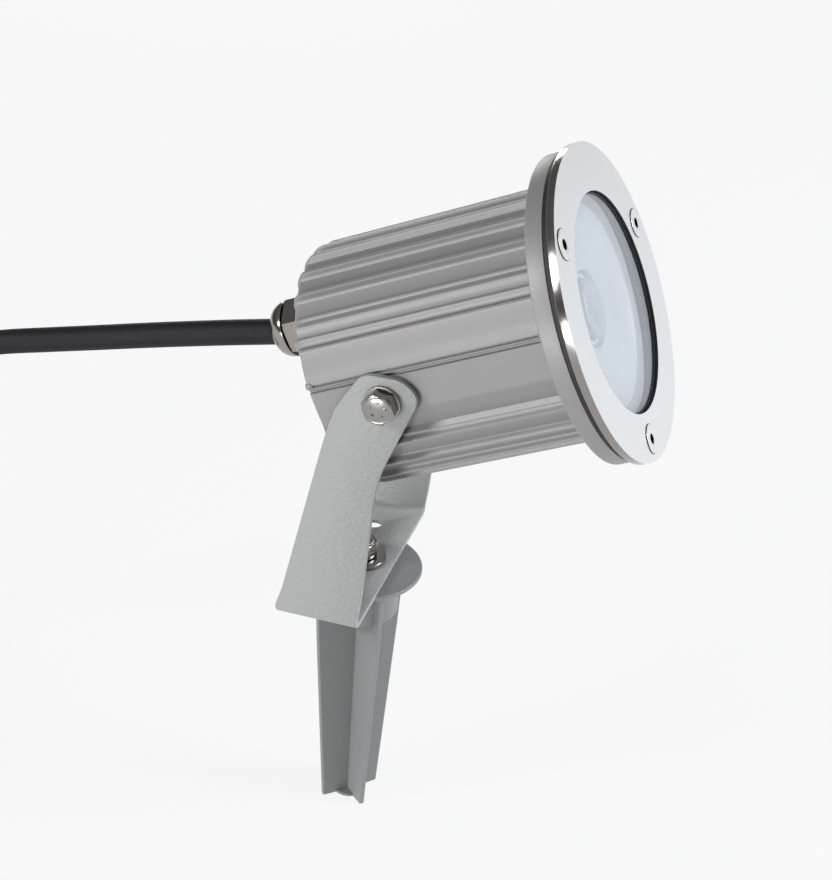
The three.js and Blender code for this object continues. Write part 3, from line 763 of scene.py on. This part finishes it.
def ring_screws():
    """Flat countersunk heads, standing a little above the ring, each with a hexagon socket. The socket and
    the head's thin side wall are near-black steel as painted shade.
    """
    top, floor_s = 71.1, 69.0
    for i, (y, z) in enumerate(screw_places()):
        place = (0, y, z)
        body = lathe(soften([(1.72, floor_s), (1.75, top - 0.02), (4.88, top), (4.96, top - 0.1),
                             (4.96, 70.5), (2.5, 68.1), (2.5, 62.8), (0, 62.8)],
                            [0, 0.08, 0.05, 0.02, 0.1, 0, 0, 0], 3),
                     TO_X, place, 64)
        # The head's thin side wall and its hexagon socket are near-black steel: painted shade.
        edge = lathe([(4.96, 70.4), (5.0, 70.5), (5.0, 71.02), (4.96, 71.05)], TO_X, place, 64)
        six = hexagon(3.0, 15)
        walls = loft([[(x * 1.02, w * 1.02, top - 0.04) for x, w in six],
                      [(x, w, floor_s - 0.1) for x, w in six]], caps=False)
        socket = moved(walls, Matrix.Translation(place) @ TO_X)
        bottom = lathe([(0, floor_s), (2.3, floor_s)], TO_X, place, 24)
        build(f"ring_screw_head_{i + 1}", body, SATIN, "head", [f"ring_screw_{i + 1}"], HEAD)
        build(f"ring_screw_socket_painted_shade_{i + 1}", joined(socket, bottom, edge), SHADOW_STEEL, "head", (),
              HEAD)


def front_glass(axis):
    """Clear pane whose back lets light straight through and whose rim is frosted, with its seal."""
    r, back, front = PANE["r"], PANE["back"], PANE["front"]
    glass = lathe(soften([(0, back), (r, back), (r, front), (0, front)], [0, 0.4, 0.4, 0], 3), TO_X,
                  segments=128)
    pane = build("glass_disc", glass, GLASS, "head", ["front_glass"], HEAD)
    pane.data.materials.append(GLASS_BACK)
    pane.data.materials.append(GLASS_EDGE)
    clear_back, frosted_rim = 1, 2
    for polygon in pane.data.polygons:
        facing = polygon.normal.dot(axis)
        if facing < 0.5:
            polygon.material_index = clear_back if facing < -0.5 else frosted_rim
    seal = lathe(soften([(35.9, 68.95), (35.9, 69.7), (36.2, 69.75), (36.3, 69.15), (40.9, 69.15),
                         (40.9, 68.95), (35.9, 68.95)], 0.08, 2), TO_X, segments=128)
    build("glass_lip_seal", seal, SEAL, "head", ["glass_seal"], HEAD)


def front_end():
    axis = (HEAD.to_3x3() @ Vector((1, 0, 0))).normalized()
    gasket()
    front_ring(axis)
    ring_screws()
    front_glass(axis)


def optics():
    dish_steps, lens_ribs = 12, 24
    dish = [(12.8, 58.6), (13.6, 58.8)]
    for k in range(dish_steps + 1):
        t = k / dish_steps
        dish.append((13.6 + 20.3 * t, 59.0 + 4.7 * t ** 1.5))
    dish += [(34.2, 64.3), (33.6, 64.5), (33.2, 64.1), (30.0, 62.9), (13.0, 61.2), (12.8, 58.6)]
    build("reflector_dish", lathe(dish, TO_X, segments=96), WHITE, "head", ["reflector"],
          HEAD)

    dome = soften([(0, 62.6), (4.5, 62.9), (8.6, 63.2), (9.8, 62.6), (9.8, 60.5), (5, 52.8), (0, 52.7)],
                  [0, 1.5, 1.0, 0.6, 0.5, 0.5, 0], 4)
    verts, faces = lathe(dome, TO_X, segments=96)
    ribbed = []
    for x, y, z in verts:
        rippled = x > 60.4 and math.hypot(y, z) > 3
        ripple = 0.02 * math.cos(lens_ribs * math.atan2(z, y)) if rippled else 0.0
        ribbed.append((x, y * (1.0 + ripple), z * (1.0 + ripple)))
    bars = [prism([(-5, u), (1, u), (1, u + 0.4), (-5, u + 0.4)], 62.8, 63.15, TO_X)
            for u in (-7.2 + 0.85 * k for k in range(8))]
    build("lens_body", joined((ribbed, faces), *bars), CLEAR, "head", ["led_lens"], HEAD)

    holder = lathe(soften([(10.2, 51.3), (12.1, 51.3), (12.1, 59.6), (11.6, 60.0), (10.2, 60.0),
                           (10.2, 51.3)], [0, 0.2, 0.3, 0.3, 0.2, 0]), TO_X, segments=64)
    build("lens_collar", holder, WHITE, "head", ["lens_holder"], HEAD)


def gland():
    """Cable gland behind the head; its profiles count forward from the head's pivot."""
    at = HEAD @ Matrix.Translation((0, 0, GLAND_U))
    body = hex_bar(18.0, -41.4, -28.6, 30, (0.6, 0.5), 4.9)
    neck = lathe([(4.9, -43.8), (7.0, -43.8), (7.0, -41.0)], segments=48)
    inside = lathe([(4.9, -28.8), (8.0, -28.8), (8.0, -14), (4.9, -14)], segments=48)
    build("gland_base", moved(joined(body, neck, inside), TO_X), NICKEL, "head", ["gland_body"],
          at)
    cap = soften([(4.9, -46.2), (4.95, -47.2), (5.6, -47.3), (7.4, -47.0), (9.0, -45.4), (9.75, -43.2),
                  (9.8, -41.7), (7.3, -41.7), (7.3, -45.0)], [0, 0.4, 0.5, 1.2, 1.6, 1.2, 0.3, 0.2, 0], 6)
    build("gland_cap", lathe(cap, TO_X, segments=96), NICKEL, "head", ["gland_nut"], at)
    ring = soften([(8.6, -28.4), (9.9, -28.4), (9.9, -28.03), (8.6, -28.03), (8.6, -28.4)], 0.12, 3)
    build("gland_seal_ring", lathe(ring, TO_X, segments=48), SEAL, "head", ["gland_o_ring"], at)
    tail = lathe([(0, -47.55), (CORD_R, -47.55), (CORD_R, -12), (0, -12)], TO_X, segments=32)
    build("cable_inside_gland", tail, SHEATH, "head", ["cable_tail"], at)
    lip = lathe([(4.52, -46.9), (4.88, -46.9), (4.88, -45), (4.52, -45)], TO_X, segments=32)
    build("gland_lip", lip, SEAL, "head", (), at)


def pivots():
    for side, mirror in (("near", -1), ("far", 1)):
        at = HEAD @ Matrix.Diagonal((1, mirror, 1, 1))
        build(f"pivot_washer_plain_{side}", washer(3.4, 6.2, 41.9, 43.0, TO_Y), BOLT_STEEL, "head",
              [f"pivot_washer_{side}"], at)
        shaft = lathe([(0, 29), (3, 29), (3, 43.5), (0, 43.5)], TO_Y, segments=32)
        head = bolt_head(43.3, TO_Y, 30 - TILT_DEGREES)
        build(f"pivot_bolt_hex_{side}", joined(head, shaft), BOLT_STEEL, "head",
              [f"pivot_bolt_{side}"], at)


housing()
front_end()
optics()
gland()
pivots()

# ---------- carried-over CAD pieces that hardly show ----------
CARRIED = {
    "spike_insert": BRASS, "led_board": WHITE, "led_chip": AMBER, "led_plate": ALU, "driver_board": BOARD,
    "driver_transformer": AMBER, "driver_capacitor": DARK, "driver_terminal": WHITE, "driver_carrier": WHITE,
    "gland_locknut": NICKEL, "gland_seal": SEAL, "led_wire_1": BRASS, "led_wire_2": DARK,
    "pivot_friction_washer_near": WHITE, "pivot_friction_washer_far": WHITE,
    "plate_screw_1": BOLT_STEEL, "plate_screw_2": BOLT_STEEL, "plate_screw_3": BOLT_STEEL,
}
for node, finish in CARRIED.items():
    mesh = frame["nodes"][node].data
    mesh.materials.clear()
    mesh.materials.append(finish)


# ---------- floor, light and world ----------
def floor():
    mesh = bpy.data.meshes.new("floor")
    size = 20.0
    corners = [(-size, -size, 0), (size, -size, 0), (size, size, 0), (-size, size, 0)]
    mesh.from_pydata(corners, [], [[0, 1, 2, 3]])
    obj = bpy.data.objects.new("floor", mesh)
    bpy.context.scene.collection.objects.link(obj)
    m = bpy.data.materials.new("floor_paper")
    m.use_nodes = True
    nt = m.node_tree
    nt.nodes.remove(nt.nodes["Principled BSDF"])
    paper = nt.nodes.new("ShaderNodeBsdfDiffuse")
    paper.inputs["Color"].default_value = (0.07, 0.07, 0.07, 1)
    glow = nt.nodes.new("ShaderNodeEmission")
    glow.inputs["Color"].default_value = (1, 1, 1, 1)
    glow.inputs["Strength"].default_value = 0.87
    both = nt.nodes.new("ShaderNodeAddShader")
    nt.links.new(paper.outputs[0], both.inputs[0])
    nt.links.new(glow.outputs[0], both.inputs[1])
    nt.links.new(both.outputs[0], nt.nodes["Material Output"].inputs["Surface"])
    mesh.materials.append(m)


def area_light(name, position, aim, size, power, color=(1, 1, 1)):
    data = bpy.data.lights.new(name, "AREA")
    data.shape = "RECTANGLE"
    data.size, data.size_y = size
    data.energy = power
    data.color = color
    obj = bpy.data.objects.new(name, data)
    bpy.context.scene.collection.objects.link(obj)
    obj.location = position
    obj.rotation_euler = (Vector(position) - Vector(aim)).to_track_quat("Z", "Y").to_euler()


def world():
    w = bpy.data.worlds.new("studio")
    bpy.context.scene.world = w
    w.use_nodes = True
    nt = w.node_tree
    back = nt.nodes["Background"]
    coord = nt.nodes.new("ShaderNodeTexCoord")
    split = nt.nodes.new("ShaderNodeSeparateXYZ")
    nt.links.new(coord.outputs["Generated"], split.inputs[0])
    ramp = nt.nodes.new("ShaderNodeValToRGB")
    ramp.color_ramp.elements[0].position = 0.0
    ramp.color_ramp.elements[0].color = (0.28, 0.27, 0.27, 1)
    ramp.color_ramp.elements[1].position = 0.9
    ramp.color_ramp.elements[1].color = (0.85, 0.86, 0.88, 1)
    nt.links.new(split.outputs["Z"], ramp.inputs[0])
    nt.links.new(ramp.outputs[0], back.inputs["Color"])
    back.inputs["Strength"].default_value = 0.3


floor()
world()
area_light("key", (-1.3, -1.15, 1.15), (0, 0, 0.18), (0.5, 0.6), 20)
area_light("fill", (-0.5, -1.7, 0.16), (0, 0, 0.18), (0.5, 0.3), 13)
area_light("front", (1.5, 0.35, 0.95), (0, 0, 0.25), (0.6, 0.6), 31, (0.96, 0.98, 1.0))
area_light("rim", (-0.65, 1.3, 0.42), (0, 0, 0.2), (0.4, 0.3), 3)

scene = bpy.context.scene
scene.view_settings.view_transform = "Standard"
scene.view_settings.look = "None"
